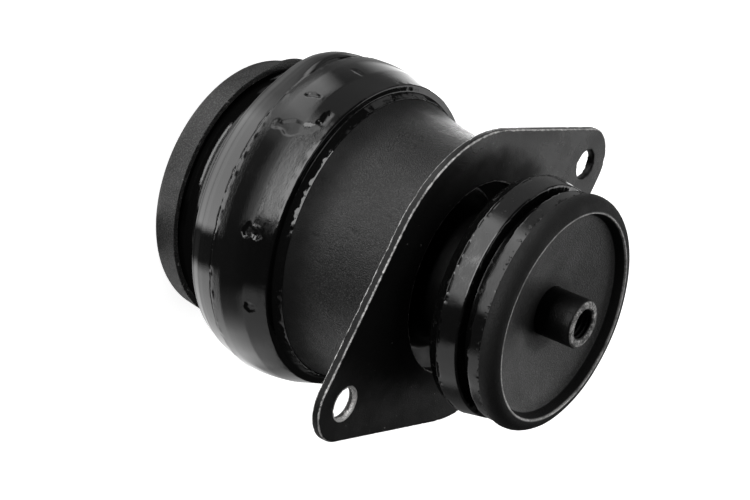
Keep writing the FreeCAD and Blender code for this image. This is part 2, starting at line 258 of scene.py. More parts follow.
def ridge(value, centre, half_width):
    """1 on a line and 0 at half_width from it, with a smooth fall."""
    near = np.clip(1 - np.abs(value - centre) / half_width, 0, 1)
    return near * near * (3 - 2 * near)


def rise(value, low, high):
    """0 up to low and 1 from high on, with a smooth climb between them."""
    share = np.clip((value - low) / (high - low), 0, 1)
    return share * share * (3 - 2 * share)


def inside_distance(corners, across, along):
    """How far points lie inside a flat outline: positive inside, negative outside."""
    corners = np.array(corners, float)
    nearest = np.full(across.shape, 1e9)
    inside = np.zeros(across.shape, bool)
    for (ax, ay), (bx, by) in zip(corners, np.roll(corners, -1, axis=0)):
        dx, dy = bx - ax, by - ay
        share = np.clip(((across - ax) * dx + (along - ay) * dy) / (dx * dx + dy * dy), 0, 1)
        nearest = np.minimum(nearest, np.hypot(across - ax - share * dx, along - ay - share * dy))
        crosses = (ay > along) != (by > along)
        with np.errstate(divide="ignore", invalid="ignore"):
            inside ^= crosses & (across < ax + (along - ay) * dx / np.where(dy == 0, 1e-9, dy))
    return np.where(inside, nearest, -nearest)


def unrolled(angle, middle, radius=BAND_MIDDLE_RADIUS):
    """Distance round the axis from a middle angle, in millimetres at a radius."""
    return np.radians((angle - middle + 180) % 360 - 180) * radius


def on_circle(angle, radius):
    """Points on a circle round the axis, for noise that changes with the angle alone."""
    turn = np.radians(angle)
    return np.stack([np.cos(turn), np.sin(turn), 0 * turn], axis=-1) * radius


def crumb(turn, radius, height, size, generator):
    """A small irregular lump of dirt or torn rubber. turn is in radians."""
    centre = np.array([radius * math.cos(turn), radius * math.sin(turn), height])
    points = []
    for corner in itertools.product((-1, 1), repeat=3):
        points.append(np.array(corner) * (0.35 + 0.3 * generator.random(3)))
    points = np.array(points) * size + centre
    faces = [(0, 1, 3, 2), (4, 6, 7, 5), (0, 4, 5, 1), (2, 3, 7, 6), (0, 2, 6, 4), (1, 5, 7, 3)]
    return points, faces


# ---- The pieces ----
def make_rear_cup():
    """Drawn steel cup, dented a little, with its skirt bent outward on one side and a chipped edge."""
    corner = 4.0
    foot, ridge_inner, wall = 36.0, 31.5, 30.5
    skirt, bend = 40.8, 40.0
    foot_height = 0.1
    bent_by, bent_at, bent_reach = 1.7, 236.0, 26.0
    outline = profile((SPIGOT_RADIUS, REAR_RECESS), [
        (wall, REAR_RECESS), (ridge_inner, foot_height), (foot, foot_height),
        (bend, corner, corner, 1), (skirt, CUP_EDGE), (skirt - SHEET, CUP_EDGE),
        (bend - SHEET, corner), (foot, SHEET, corner - SHEET, -1), (ridge_inner + SHEET, SHEET),
        (wall + SHEET, REAR_SHOULDER), (SPIGOT_RADIUS, REAR_SHOULDER),
    ], soft=0.25)

    def raised(points, angle):
        height = points[..., 2]
        outside = np.hypot(points[..., 0], points[..., 1]) > bend - 0.5
        dents = 0.05 * lumps(points, 14, 3) - 0.05
        bent = bent_by * ridge(angle, bent_at, bent_reach) * rise(height, REAR_SHOULDER, CUP_EDGE)
        chips = rise(height, CUP_EDGE - 1.2, CUP_EDGE) * 0.16 * rise(ragged(points, 1.6, 5), 0.25, 0.6)
        return dents + np.where(outside, bent, 0) - chips

    return turned("rear_cup_dressed", outline, angles(448), raised)


# Torn places in the band, as outlines of (distance round the band, height).
TEAR = ((2.8, 36.3), (1.0, 35.7), (-0.2, 36.4), (0.1, 38.3), (-1.3, 40.0), (-2.5, 41.6), (-2.1, 43.7),
        (-3.0, 45.4), (-3.9, 47.5), (-1.7, 47.2), (0.4, 45.5), (2.2, 44.1), (3.1, 43.0), (3.2, 41.2),
        (2.2, 38.9))
CHIP = ((-2.1, 43.0), (-1.2, 44.2), (-1.3, 46.0), (0.5, 47.2), (2.0, 45.9), (1.4, 44.4), (2.6, 42.6),
        (0.6, 41.6))
GASH = ((-1.4, 41.9), (-1.1, 40.2), (-0.6, 38.6), (0.5, 37.7), (1.3, 38.2), (0.5, 39.6), (-0.1, 41.2),
        (-0.5, 42.4))
NOTCH = ((-3.6, 48.0), (-1.0, 47.0), (1.2, 47.3), (3.0, 46.6), (2.0, 48.2), (-0.6, 48.6))
NICK = ((-1.0, 40.2), (0.2, 39.6), (0.9, 41.6), (0.4, 44.0), (-0.8, 43.4))
SCUFF = ((-1.6, 45.2), (0.4, 44.6), (1.8, 46.0), (1.0, 47.4), (-1.2, 47.0))
# For each of them: outline, angle of its middle, depth, height of the burr, and seed of its noise.
DAMAGES = (
    (TEAR, 286.0, 0.32, 0.05, 20), (CHIP, 323.5, 0.6, 0.18, 30), (GASH, 272.0, 0.5, 0.06, 40),
    (NOTCH, 278.0, 0.5, 0.03, 50), (NICK, 251.0, 0.3, 0.03, 60), (SCUFF, 351.0, 0.3, 0.08, 70),
)


def damage(points, angle, corners, middle, depth, burr, seed):
    """A torn place in the band: a sunk, rough floor with a jagged edge and a raised burr round it."""
    inside = inside_distance(corners, unrolled(angle, middle), points[..., 2])
    inside = inside + 0.3 * ragged(points, 1.6, seed)
    floor = depth * rise(inside, -0.1, 0.3) * (0.85 + 0.2 * ragged(points, 2.2, seed + 9))
    return burr * 0.5 * ridge(inside, -0.35, 0.45) - floor


def main_rubber_raised(points, angle):
    """How far each point of the main rubber moves outward. Most of the piece is hidden and stays."""
    height = points[..., 2]
    radius = np.hypot(points[..., 0], points[..., 1])
    outer = radius > 43.0
    around = on_circle(angle, 50.0)
    move = 0.05 * lumps(points, 24, 1) + 0.01 * lumps(points, 7, 2) - 0.07
    move = np.where(outer | (radius > 30) & (height < 30), move, 0.0)

    # Flash line: a torn groove, and in front of it a ragged crest
    torn = 0.5 + 0.5 * ragged(around, 2.6, 11, 4)
    groove = ridge(height, FLASH - 0.55 + 0.25 * ragged(around, 5.0, 12), 0.5)
    move -= np.where(outer, groove * 0.55 * rise(torn, 0.2, 0.6), 0)
    crest = ridge(height, FLASH + 0.25 + 0.2 * ragged(around, 3.0, 13), 0.55)
    move += np.where(outer, crest * (0.5 * torn - 0.28), 0)

    # Uneven lip, the film that creeps from it onto the bell, and the crease round the ring
    lip_line = ridge(height, LIP - 0.1, 0.8) * (radius > LIP_RADIUS - 1.2)
    move += lip_line * 0.1 * ragged(around, 2.0, 14)
    on_bell = (radius > bell_radius(FILM_EDGE) - 0.05) & (radius < 45.9)
    film = rise(height, LIP + 0.3, LIP + 0.9) * on_bell
    move += film * (0.1 * ragged(points, 1.6, 15) - 0.1)
    film_edge = ridge(height, FILM_EDGE - 0.25, 0.5) * film
    move += film_edge * 0.04 * rise(ragged(around, 5.0, 16), -0.1, 0.4)
    move -= ridge(height, RING_CROWN, 0.35) * outer * 0.12

    for corners, middle, depth, burr, seed in DAMAGES:
        move += np.where(outer, damage(points, angle, corners, middle, depth, burr, seed), 0)
    move = np.minimum(move, np.where(outer, BAND_RADIUS - 0.02 - radius, 9.0))

    # The ring is swollen on one side
    swollen = ridge(angle, 247.0, 25.0) * rise(height, 21.0, 24.0) * rise(-height, -33.0, -30.0)
    return move + np.where(outer, 1.6 * swollen, 0)


def make_main_rubber():
    """One moulding, from the filling of the rear cup to the front neck in the plate's window."""
    fill_edge, fill_radius = 9.0, 38.64
    neck, neck_round = 34.4, 5.0
    ring_round = 2.5
    front_neck, dip = 20.0, 5.0
    cone_rear = LIP - CONE_LENGTH
    cone_radius = LIP_RADIUS + CONE_LENGTH * CONE_SLOPE
    band = BAND_RADIUS - 0.1
    inner_bend = BEND_RADIUS - BELL_SHEET
    throat = THROAT_RADIUS - BELL_SHEET

    def gap(radius, height):
        """Points are close where the rubber is in view, and closest where it is torn."""
        shown = (radius > 43) & (height > 22) & (height < 53)
        torn = (radius > 48) & (height > 31) & (height < 49)
        groove = (radius > 30) & (height < 23) & (height > 9)
        return np.where(torn, 0.48, np.where(shown, 0.8, np.where(groove, 1.6, 5.0)))

    outline = profile((CORE_RADIUS, REAR_SHOULDER), [
        # inside the rear cup
        (32.5, REAR_SHOULDER), (33.5, SHEET), (36.0, SHEET), (38.0, 4.0, 2.0, 1),
        (fill_radius, fill_edge),
        # neck and ring
        (neck, fill_edge + neck_round, neck_round, -1), (neck, RING_REAR - ring_round),
        (neck + ring_round, RING_REAR, ring_round, -1), (45.8, RING_REAR),
        (47.0, RING_REAR + 1.2, 1.2, 1), (48.5, RING_CROWN), (49.1, RING_TOP),
        # band and lip
        (band, FLASH), (BAND_RADIUS - 0.12, FLASH + 0.7), (band, BAND_CROWN),
        (cone_radius, cone_rear, 55.0, 1), (LIP_RADIUS, LIP), (LIP_RADIUS - 0.7, LIP + 0.45, 0.6, 1),
        # film on the bell
        (bell_radius(LIP + 0.9) + 0.75, LIP + 0.6), (bell_radius(LIP + 2.2) + 0.3, LIP + 2.2),
        (bell_radius(FILM_EDGE) + 0.35, FILM_EDGE - 0.3), (bell_radius(FILM_EDGE) - 0.1, FILM_EDGE),
        # back along the outside of the bell, round its mouth and along its inside
        (bell_radius(BELL_MOUTH), BELL_MOUTH, BELL_SWEEP, 1),
        (bell_radius(BELL_MOUTH, BELL_SHEET), BELL_MOUTH),
        (throat, BEND, BELL_SWEEP + BELL_SHEET, -1),
        (throat - inner_bend, BELL_FLOOR, inner_bend, 1),
        # front neck, in the plate's window
        (WINDOW_RADIUS + 2.0, BELL_FLOOR), (front_neck + dip, BELL_FLOOR - dip),
        (front_neck, BELL_FLOOR, dip, -1), (front_neck, RUBBER_FRONT), (CORE_RADIUS, RUBBER_FRONT),
    ], soft=0.22, gap=gap, turn=14.0)
    generator = np.random.default_rng(7)
    crumbs = []
    for _ in range(90):
        turn = math.radians(generator.uniform(180, 400))
        height = LIP + 0.9 + generator.uniform(0, 1) ** 0.5 * 2.1
        radius = bell_radius(height) + generator.uniform(0.1, 0.35)
        crumbs.append(crumb(turn, radius, height, generator.uniform(0.1, 0.28), generator))
    for _ in range(160):
        turn = math.radians(generator.uniform(250, 400))
        height = FLASH - 0.9 + generator.uniform(0, 0.9)
        crumbs.append(crumb(turn, 48.95, height, generator.uniform(0.1, 0.26), generator))
    return turned("main_rubber_dressed", outline, angles(430, close=2.6), main_rubber_raised, crumbs)


# Pits in the bell: angle, height, size, and seed of its noise.
PITS = ((300.0, 77.8, 0.9, 1), (302.5, 80.2, 0.7, 2), (301.4, 79.3, 0.5, 3),
        (311.5, 70.9, 0.8, 4), (318.0, 60.0, 0.45, 5), (262.0, 66.0, 0.5, 6))


def make_bell():
    """Drawn steel shell with a flared mouth, turned in under the plate, slightly dented and pitted."""
    throat = THROAT_RADIUS
    under_plate = PLATE_REAR - 0.02
    outline = profile((bell_radius(BELL_MOUTH), BELL_MOUTH), [
        (throat, BEND, BELL_SWEEP, -1), (throat - BEND_RADIUS, under_plate, BEND_RADIUS, 1),
        (WINDOW_RADIUS, under_plate), (WINDOW_RADIUS, BELL_FLOOR), (throat - BEND_RADIUS, BELL_FLOOR),
        (throat - BELL_SHEET, BEND, BEND_RADIUS - BELL_SHEET, -1),
        (bell_radius(BELL_MOUTH, BELL_SHEET), BELL_MOUTH, BELL_SWEEP + BELL_SHEET, 1),
    ], soft=0.2, gap=0.9)

    def raised(points, angle):
        outside = np.hypot(points[..., 0], points[..., 1]) > THROAT_RADIUS - 2.0
        move = 0.06 * lumps(points, 18, 4) + 0.02 * lumps(points, 3, 5) - 0.06
        for middle, height, size, seed in PITS:
            around = unrolled(angle, middle, THROAT_RADIUS + 0.5)
            away = np.hypot(around, points[..., 2] - height)
            away = away + 0.35 * lumps(points, 0.9, seed)
            move -= 0.3 * rise(-away, -size, -0.3 * size)
        return np.where(outside, move, 0.0)

    return turned("bell_dressed", outline, angles(520, close=2.0), raised)


def plate_outline(gap=0.55):
    """Points and outward directions of the plate's outline, from the +X end on, counter-clockwise."""
    step = PLATE_RADIUS - TIP_RADIUS
    lean = math.acos(step / HOLE_PLACE)
    side = math.sqrt(HOLE_PLACE ** 2 - step ** 2)
    points, directions = [], []

    def arc(centre, radius, first, last):
        count = max(int(abs(last - first) * radius / gap), 2)
        for angle in np.linspace(first, last, count):
            way = np.array([math.cos(angle), math.sin(angle)])
            points.append(np.array([centre, 0.0]) + way * radius)
            directions.append(way)

    def straight():
        """Fill the side between the last arc and the first point of the next one."""
        first, way = points[-1], directions[-1]
        ahead = np.array([-way[1], way[0]])
        for place in np.arange(gap, side - 0.3, gap):
            points.append(first + ahead * place)
            directions.append(way)

    for centre, radius, first, last in (
        (HOLE_PLACE, TIP_RADIUS, -lean, lean), (0, PLATE_RADIUS, lean, math.pi - lean),
        (-HOLE_PLACE, TIP_RADIUS, math.pi - lean, math.pi + lean),
        (0, PLATE_RADIUS, math.pi + lean, 2 * math.pi - lean),
    ):
        arc(centre, radius, first, last)
        straight()
    return np.array(points), np.array(directions)


def make_flange_plate():
    """Flat plate with worn, chipped edges. Rings of points follow each edge at set distances inward."""
    top, bottom = PLATE_FRONT, PLATE_REAR
    middle = (top + bottom) / 2
    down = ((3.0, 0.0), (1.6, 0.0), (0.8, 0.0), (0.42, 0.02), (0.18, 0.1), (0.04, 0.3), (0.0, 0.6))
    rings = [(inward, top - depth) for inward, depth in down] + [(0.0, middle)]
    rings += [(inward, bottom + depth) for inward, depth in down[::-1]]
    edge, ways = plate_outline()
    loops = [(edge, ways)]
    for place, radius, count in ((HOLE_PLACE, HOLE_RADIUS, 96), (-HOLE_PLACE, HOLE_RADIUS, 96),
                                 (0.0, WINDOW_RADIUS, 240)):
        turn = np.linspace(0, 2 * math.pi, count, endpoint=False)[::-1]
        way = np.stack([np.cos(turn), np.sin(turn)], axis=1)
        loops.append((way * radius + np.array([place, 0.0]), -way))
    points, faces, insets, borders = [], [], [], ([], [])
    for number, (around, way) in enumerate(loops):
        first, count = len(points), len(around)
        for inward, height in rings:
            from_arris = inward + min(top - height, height - bottom)
            spots = np.column_stack([around - way * inward, np.full(count, height)])
            chipped = rise(ragged(spots * np.array([1, 1, 0.4]), 2.2, 21 + number), 0.18, 0.5)
            bite = chipped * math.exp(-(from_arris / 0.45) ** 2) * 0.22
            spots[:, :2] -= way * bite[:, None]
            spots[:, 2] -= bite * 0.7 * (1 if height > middle else -1)
            points.extend(spots)
            insets.extend([from_arris] * count)
        faces += [face[::-1] for face in ring_faces(len(rings), count, first, closed=False)]
        borders[0].append((first, count))
        borders[1].append((first + (len(rings) - 1) * count, count))
    mesh = new_mesh("flange_plate_dressed", points, faces)
    worker = bmesh.new()
    worker.from_mesh(mesh)
    worker.verts.ensure_lookup_table()
    for side in borders:
        edges = []
        for first, count in side:
            for place in range(count):
                pair = (worker.verts[first + place], worker.verts[first + (place + 1) % count])
                edges.append(worker.edges.get(pair) or worker.edges.new(pair))
        bmesh.ops.triangle_fill(worker, use_beauty=True, edges=edges)
    bmesh.ops.recalc_face_normals(worker, faces=worker.faces)
    worker.to_mesh(mesh)
    worker.free()
    inset = mesh.attributes.new("inset", "FLOAT", "POINT")
    inset.data.foreach_set("value", np.array(insets, dtype=np.float32))
    return placed(mesh, smooth_under=50.0)


def make_front_rubber():
    """Rebound stop: a hub, a wide lobe with its flash line, a groove, and a lobe that fills the cap."""
    hub, root, edge = 20.0, 2.4, 0.8
    skirt_inner = CAP_RADIUS - SHEET
    bitten_height, crumbs_low, crumbs_high = 115.9, 115.3, 116.6

    def gap(radius, height):
        return np.where(radius > LOBE_GROOVE_RADIUS - 0.5, 0.5, 2.0)

    outline = profile((CORE_RADIUS, STOP_REAR), [
        (hub, STOP_REAR), (hub, LOBE_REAR - root), (hub + root, LOBE_REAR, root, -1),
        (LOBE_RADIUS - edge, LOBE_REAR), (LOBE_RADIUS, LOBE_REAR + edge, edge, 1),
        (LOBE_CROWN_RADIUS, LOBE_CROWN), (LOBE_RADIUS, LOBE_FRONT - edge),
        (LOBE_RADIUS - edge, LOBE_FRONT, edge, 1), (LOBE_GROOVE_RADIUS, LOBE_FRONT),
        (LOBE_GROOVE_RADIUS, TOP_LOBE), (TOP_LOBE_RADIUS - edge, TOP_LOBE),
        (TOP_LOBE_RADIUS, TOP_LOBE + edge, edge, 1), (TOP_LOBE_RADIUS, CAP_EDGE),
        (skirt_inner, CAP_EDGE), (CAP_FLOOR_RADIUS, CAP_FLOOR - SHEET), (CORE_RADIUS, FRONT_SHOULDER),
    ], soft=0.2, gap=gap, turn=12.0)

    def raised(points, angle):
        height = points[..., 2]
        outer = np.hypot(points[..., 0], points[..., 1]) > LOBE_RADIUS - 1.5
        around = on_circle(angle, LOBE_RADIUS)
        move = 0.06 * lumps(points, 12, 6) + 0.03 * lumps(points, 3, 7) - 0.05
        # flash line on the crown, a crest and a torn groove
        torn = 0.5 + 0.5 * ragged(around, 2.2, 31, 4)
        crest = ridge(height, LOBE_CROWN - 0.4 + 0.2 * ragged(around, 4.0, 32), 0.5)
        move += crest * (0.45 * torn - 0.12)
        move -= ridge(height, LOBE_CROWN + 0.35, 0.4) * 0.3 * rise(torn, 0.3, 0.6)
        # uneven edges on both sides of the groove, and bites out of the edge at the cap
        move += ridge(height, LOBE_FRONT + 0.1, 0.6) * 0.22 * ragged(around, 1.8, 33)
        move += ridge(height, TOP_LOBE + 0.1, 0.7) * 0.4 * ragged(around, 2.2, 34)
        bitten = rise(ragged(points, 2.4, 35), 0.3, 0.55) * ridge(height, bitten_height, 1.5)
        return np.where(outer, move - 0.3 * bitten, 0.0)

    generator = np.random.default_rng(9)
    crumbs = []
    for _ in range(220):
        turn = math.radians(generator.uniform(200, 400))
        radius = LOBE_GROOVE_RADIUS + 0.15
        height = generator.uniform(LOBE_FRONT + 0.3, TOP_LOBE - 0.2)
        if generator.random() < 0.5:
            radius, height = TOP_LOBE_RADIUS + 0.1, generator.uniform(crumbs_low, crumbs_high)
        crumbs.append(crumb(turn, radius, height, generator.uniform(0.1, 0.3), generator))
    return turned("front_rubber_dressed", outline, angles(520, close=2.0), raised, crumbs)


def make_front_cap():
    """Drawn steel cap with a raised rim and a dished floor. Its skirt is rough."""
    corner = 3.9
    outline = profile((SPIGOT_RADIUS, FRONT_SHOULDER), [
        (CORE_RADIUS, FRONT_SHOULDER), (CAP_FLOOR_RADIUS, CAP_FLOOR - SHEET),
        (CAP_RADIUS - SHEET, CAP_EDGE), (CAP_RADIUS, CAP_EDGE), (CAP_RADIUS, CAP_RIM - corner),
        (CAP_RADIUS - corner, CAP_RIM, corner, 1), (CAP_RIM_INNER, CAP_RIM),
        (CAP_FLOOR_RADIUS, CAP_FLOOR),
        (CORE_RADIUS, CAP_CENTRE), (SPIGOT_RADIUS, CAP_CENTRE),
    ], soft=0.3, gap=1.1)

    def raised(points, angle):
        radius = np.hypot(points[..., 0], points[..., 1])
        skirt = rise(radius, CAP_RADIUS - 1.5, CAP_RADIUS - 0.5)
        return 0.04 * lumps(points, 9, 8) - 0.04 + skirt * (0.05 * ragged(points, 1.1, 41) - 0.03)

    return turned("front_cap_dressed", outline, angles(480, close=1.6), raised)


def make_inner_core():
    """Core with real threads in both tapped holes, cut outward from the tapping radius."""
    depth, chamfer = 25.0, 0.7
    drill_point, drill_tip = BORE_RADIUS * 0.6, 0.02
    rear_depth, front_depth = CORE_REAR + depth, CORE_FRONT - depth
    pitch, thread_depth = 1.5, 0.75

    def gap(radius, height):
        """Points are closest in the thread and close on the end faces."""
        threaded = (radius < BORE_RADIUS + 0.3) & ((height < rear_depth) | (height > front_depth))
        face = (height > CORE_FRONT - 1) | (height < CORE_REAR + 1)
        return np.where(threaded, 0.19, np.where(face, 0.3, 3.0))

    outline = profile((drill_tip, rear_depth + drill_point), [
        (BORE_RADIUS, rear_depth), (BORE_RADIUS, CORE_REAR + chamfer),
        (BORE_RADIUS + chamfer, CORE_REAR), (SPIGOT_RADIUS - chamfer, CORE_REAR),
        (SPIGOT_RADIUS, CORE_REAR + chamfer),
        (SPIGOT_RADIUS, REAR_SHOULDER), (CORE_RADIUS, REAR_SHOULDER), (CORE_RADIUS, FRONT_SHOULDER),
        (SPIGOT_RADIUS, FRONT_SHOULDER), (SPIGOT_RADIUS, CORE_FRONT - chamfer),
        (SPIGOT_RADIUS - chamfer, CORE_FRONT), (BORE_RADIUS + chamfer, CORE_FRONT),
        (BORE_RADIUS, CORE_FRONT - chamfer), (BORE_RADIUS, front_depth),
        (drill_tip, front_depth - drill_point),
    ], soft=0.15, gap=gap, turn=12.0)

    def raised(points, angle):
        radius = np.hypot(points[..., 0], points[..., 1])
        height = points[..., 2]
        bore = (radius < BORE_RADIUS + 0.12) & (radius > BORE_RADIUS - 0.4)
        run_out = rise(height, front_depth, front_depth + 1)
        run_out = run_out + rise(-height, -rear_depth, 1 - rear_depth)
        mouth = rise(CORE_FRONT - height, 0.5, 1.2) * rise(height - CORE_REAR, 0.5, 1.2)
        phase = (height / pitch - angle / 360.0) % 1.0
        cut = np.clip(1.25 - np.abs(phase - 0.5) * 3.2, 0, 1)
        move = np.where(bore, -thread_depth * cut * run_out * mouth, 0.0)
        face = (height > CORE_FRONT - 0.9) & (radius > BORE_RADIUS + 0.1)
        return move - np.where(face, 0.05 + 0.07 * ragged(points, 1.0, 51), 0.02)

    return turned("inner_core_dressed", outline, angles(168), raised)


# ---- Materials ----
class Finish:
    """A procedural material, with short names for the nodes that it is made of."""

    def __init__(self, name):
        self.material = bpy.data.materials.new(name)
        self.material.use_nodes = True
        self.tree = self.material.node_tree
        self.shader = self.tree.nodes["Principled BSDF"]
        self.place = self.tree.nodes.new("ShaderNodeTexCoord").outputs["Object"]

    def node(self, kind, *inputs, **settings):
        made = self.tree.nodes.new(kind)
        for name, value in settings.items():
            setattr(made, name, value)
        for number, value in enumerate(inputs):
            self.feed(made.inputs[number], value)
        return made

    def feed(self, socket, value):
        if isinstance(value, bpy.types.NodeSocket):
            self.tree.links.new(value, socket)
        elif value is not None:
            socket.default_value = value

    def noise(self, size, detail=3.0, roughness=0.55, stretch=(1, 1, 1), shift=0.0):
        """Noise round 0.5 with features of about size millimetres."""
        scale = [part / (size * MM) for part in stretch]
        moved = self.node("ShaderNodeMapping")
        self.feed(moved.inputs["Vector"], self.place)
        moved.inputs["Location"].default_value = (shift, shift * 2, shift * 3)
        moved.inputs["Scale"].default_value = scale
        made = self.node("ShaderNodeTexNoise")
        self.feed(made.inputs["Vector"], moved.outputs[0])
        made.inputs["Scale"].default_value = 1.0
        made.inputs["Detail"].default_value = detail
        made.inputs["Roughness"].default_value = roughness
        return made.outputs["Fac"]

    def math(self, operation, *values):
        """One operation on its values, or a sum, product or maximum of more than two of them."""
        while len(values) > 2 and operation in ("ADD", "MULTIPLY", "MAXIMUM"):
            values = (self.math(operation, *values[:2]), *values[2:])
        return self.node("ShaderNodeMath", *values, operation=operation).outputs[0]

    def level(self, value, low, high, to_low=0.0, to_high=1.0):
        """to_low where value is at or past low, to_high at or past high, and smooth between them."""
        made = self.node("ShaderNodeMapRange", value, low, high, to_low, to_high,
                         interpolation_type="SMOOTHSTEP", clamp=True)
        return made.outputs[0]

    def mixed(self, share, first, second):
        """A colour from first to second. The node has a set of sockets for each kind of value."""
        made = self.node("ShaderNodeMix", data_type="RGBA")
        self.feed(made.inputs["Factor"], share)
        self.feed(made.inputs[6], first)
        self.feed(made.inputs[7], second)
        return made.outputs[2]

    def bump(self, height, distance, under=None):
        """distance is the relief in millimetres that a height of 1 stands for."""
        made = self.node("ShaderNodeBump")
        made.inputs["Strength"].default_value = 1.0
        made.inputs["Distance"].default_value = distance * MM
        self.feed(made.inputs["Height"], height)
        if under is not None:
            self.feed(made.inputs["Normal"], under)
        return made.outputs[0]

    def apart(self):
        return self.node("ShaderNodeSeparateXYZ", self.place).outputs

    def across(self):
        """Distance along X, in millimetres."""
        return self.math("DIVIDE", self.apart()[0], MM)

    def height(self):
        """Height along the mount's axis, in millimetres."""
        return self.math("DIVIDE", self.apart()[2], MM)

    def radius(self):
        """Distance from the mount's axis, in millimetres."""
        x, y, _ = self.apart()
        square = self.math("ADD", self.math("MULTIPLY", x, x), self.math("MULTIPLY", y, y))
        return self.math("DIVIDE", self.math("SQRT", square), MM)

    def away_from(self, centre):
        """Distance in millimetres from a point, which is given in millimetres."""
        made = self.node("ShaderNodeVectorMath", operation="DISTANCE")
        self.feed(made.inputs[0], self.place)
        made.inputs[1].default_value = [part * MM for part in centre]
        return self.math("DIVIDE", made.outputs["Value"], MM)

    def finished(self, shade, rough, normal, shine, metallic=0.0):
        """Feed the shader. shine is a number, the others may be sockets."""
        for name, value in (("Base Color", shade), ("Roughness", rough), ("Metallic", metallic),
                            ("Normal", normal)):
            self.feed(self.shader.inputs[name], value)
        self.shader.inputs["Specular IOR Level"].default_value = shine
        return self.material


def grey(value, warmth=0.0):
    return (value * (1 + warmth), value, value * (1 - warmth), 1.0)


BRIGHT_STEEL = grey(0.7, 0.02)
DARK_STEEL = grey(0.35)
STEEL_ROUGHNESS = 0.32
STEEL_METALLIC = 0.5
PAINT_SHINE = 0.15


def paint(name, tone, grain=1.0, rough=0.5, dusty=0.6, bare=None, painted_shade=None, spread=0.4):
    """Matte black paint over steel, with grain, a cloudy tone and dust. bare(finish) says where steel
    shows, which on the cap's rim is a painted highlight, and the mask after it says where painted shade
    makes the paint darker, and rougher by spread."""
    finish = Finish(name)
    cloud = finish.noise(14, 4, 0.6)
    fine = finish.noise(0.38, 2, 0.6, shift=1.0)
    coarse = finish.noise(1.3, 3, 0.6, shift=2.0)
    shade = finish.mixed(finish.level(cloud, 0.3, 0.7), grey(tone * 0.8), grey(tone * 1.15))
    shade = finish.mixed(finish.level(fine, 0.42, 0.75, 0.0, dusty), shade, grey(tone * 7, 0.01))
    speck = finish.level(finish.noise(0.9, 2, 0.5, shift=7.0), 0.66, 0.74)
    shade = finish.mixed(finish.math("MULTIPLY", speck, 0.35), shade, grey(tone * 0.2))
    gloss = finish.level(cloud, 0.3, 0.7, rough + 0.08, rough - 0.08)
    # Painted shade: the paint turns darker where this mask is high, and rougher by spread.
    if painted_shade is not None:
        hidden = painted_shade(finish)
        shade = finish.mixed(hidden, shade, grey(tone * 0.2))
        gloss = finish.math("ADD", gloss, finish.math("MULTIPLY", hidden, spread))
    normal = finish.bump(fine, 0.13 * grain)
    normal = finish.bump(coarse, 0.05 * grain, under=normal)
    metallic = 0.0
    # Bare steel where the paint is worn; on the cap's rim this is a painted highlight.
    if bare is not None:
        worn = bare(finish)
        scratched = finish.noise(0.35, 2, 0.6, shift=4.0)
        steel = finish.mixed(finish.level(scratched, 0.35, 0.65), DARK_STEEL, BRIGHT_STEEL)
        shade = finish.mixed(worn, shade, steel)
        gloss = finish.math("ADD", gloss, finish.math("MULTIPLY", worn, STEEL_ROUGHNESS - rough))
        metallic = finish.math("MULTIPLY", worn, STEEL_METALLIC)
        normal = finish.bump(worn, -0.12, under=normal)
    return finish.finished(shade, gloss, normal, PAINT_SHINE, metallic)


def rubber(name, tone, gloss, shine, inner, streaks=(1, 1, 4), scuffs=0.5):
    """Oily black rubber: smears that change its gloss, mould streaks, scuffs and specks. Within the
    radius inner it is rougher."""
    finish = Finish(name)
    smear = finish.noise(9, 4, 0.6, stretch=streaks)
    fine = finish.noise(0.4, 2, 0.6, shift=1.0)
    streak = finish.noise(1.1, 3, 0.6, stretch=streaks, shift=2.0)
    scuff = finish.level(finish.noise(2.6, 5, 0.7, shift=5.0), 0.56, 0.72)
    dust = finish.level(finish.noise(0.7, 3, 0.7, shift=8.0), 0.62, 0.75, 0.0, 0.35)
    shade = finish.mixed(finish.math("MULTIPLY", scuff, 0.5 * scuffs), grey(tone), grey(tone * 3, 0.01))
    shade = finish.mixed(dust, shade, grey(tone * 3.2, 0.01))
    rough = finish.math("ADD", finish.level(smear, 0.45, 0.7, gloss, gloss + 0.07),
                        finish.math("MULTIPLY", scuff, 0.2 * scuffs),
                        finish.level(finish.radius(), inner, inner - 1.5, 0.0, 0.25))
    normal = finish.bump(smear, 0.02)
    normal = finish.bump(streak, 0.012, under=normal)
    normal = finish.bump(fine, 0.01, under=normal)
    return finish.finished(shade, rough, normal, shine)


def plate_bare(finish):
    """Bare steel along the plate's edges, round its +X hole, and in a few flecks on its face."""
    inset = finish.node("ShaderNodeAttribute", attribute_name="inset").outputs["Fac"]
    chips = finish.noise(1.5, 4, 0.65, shift=3.0)
    reach = finish.level(finish.noise(9, 3, 0.5, shift=9.0), 0.3, 0.52, 0.65, 1.0)
    wobble = finish.math("MULTIPLY_ADD", chips, -0.7, 0.58)
    edge = finish.level(finish.math("ADD", inset, wobble), 0.75, 0.45)
    clean_hole = finish.away_from((-HOLE_PLACE, 0, PLATE_FRONT))
    outside_it = finish.level(clean_hole, HOLE_RADIUS + 1.4, HOLE_RADIUS + 1.9)
    worn = finish.math("MULTIPLY", edge, reach, outside_it)

    # the worn hole is bright at its front edge, and its deeper wall is kept dark as painted shade
    worn_hole = finish.away_from((HOLE_PLACE, 0, PLATE_FRONT))
    near = finish.level(worn_hole, HOLE_RADIUS + 1.3, HOLE_RADIUS + 0.4)
    marked = finish.level(finish.math("ADD", near, chips), 0.98, 1.12)
    wall = finish.math("MULTIPLY_ADD", chips, 2.4, PLATE_FRONT - 2.4)
    above_wall = finish.level(finish.math("SUBTRACT", finish.height(), wall), -0.2, 0.3, 0.15, 1.0)
    rim = finish.math("MULTIPLY", marked, near, above_wall)
    fleck = finish.level(finish.noise(1.2, 3, 0.6, shift=12.0), 0.735, 0.76)
    return finish.math("MAXIMUM", worn, rim, finish.math("MULTIPLY", fleck, 0.7))


